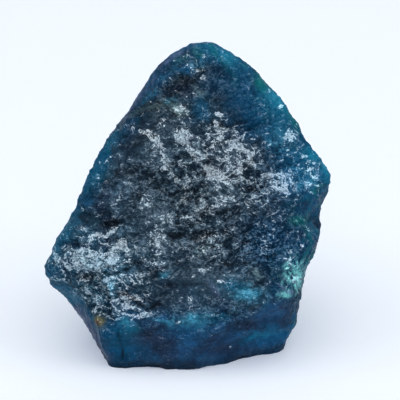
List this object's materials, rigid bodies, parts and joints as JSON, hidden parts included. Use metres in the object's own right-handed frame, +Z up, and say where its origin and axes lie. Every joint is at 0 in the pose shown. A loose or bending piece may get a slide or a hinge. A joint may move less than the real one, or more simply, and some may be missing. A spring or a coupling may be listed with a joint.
{
  "type": "raw aquamarine crystal lump",
  "caption": "Rough broken lump of blue-green beryl with a broad pitted face, thin rims and a flat fracture at the foot to stand on.",
  "frame": {"origin": "on the floor, under the middle of the stone's box", "axes": "+Z up; the broad pitted face looks towards -Y and leans back by about 25 degrees; +X to the right of that face"},
  "size_m": [0.045, 0.0314, 0.0445],
  "materials": {
    "aquamarine": "rough, sugary fracture with frosted glints; nearly opaque, translucent only at thin rims"
  },
  "bodies": {
    "root": {"rough_stone": "aquamarine"}
  },
  "joints": []
}
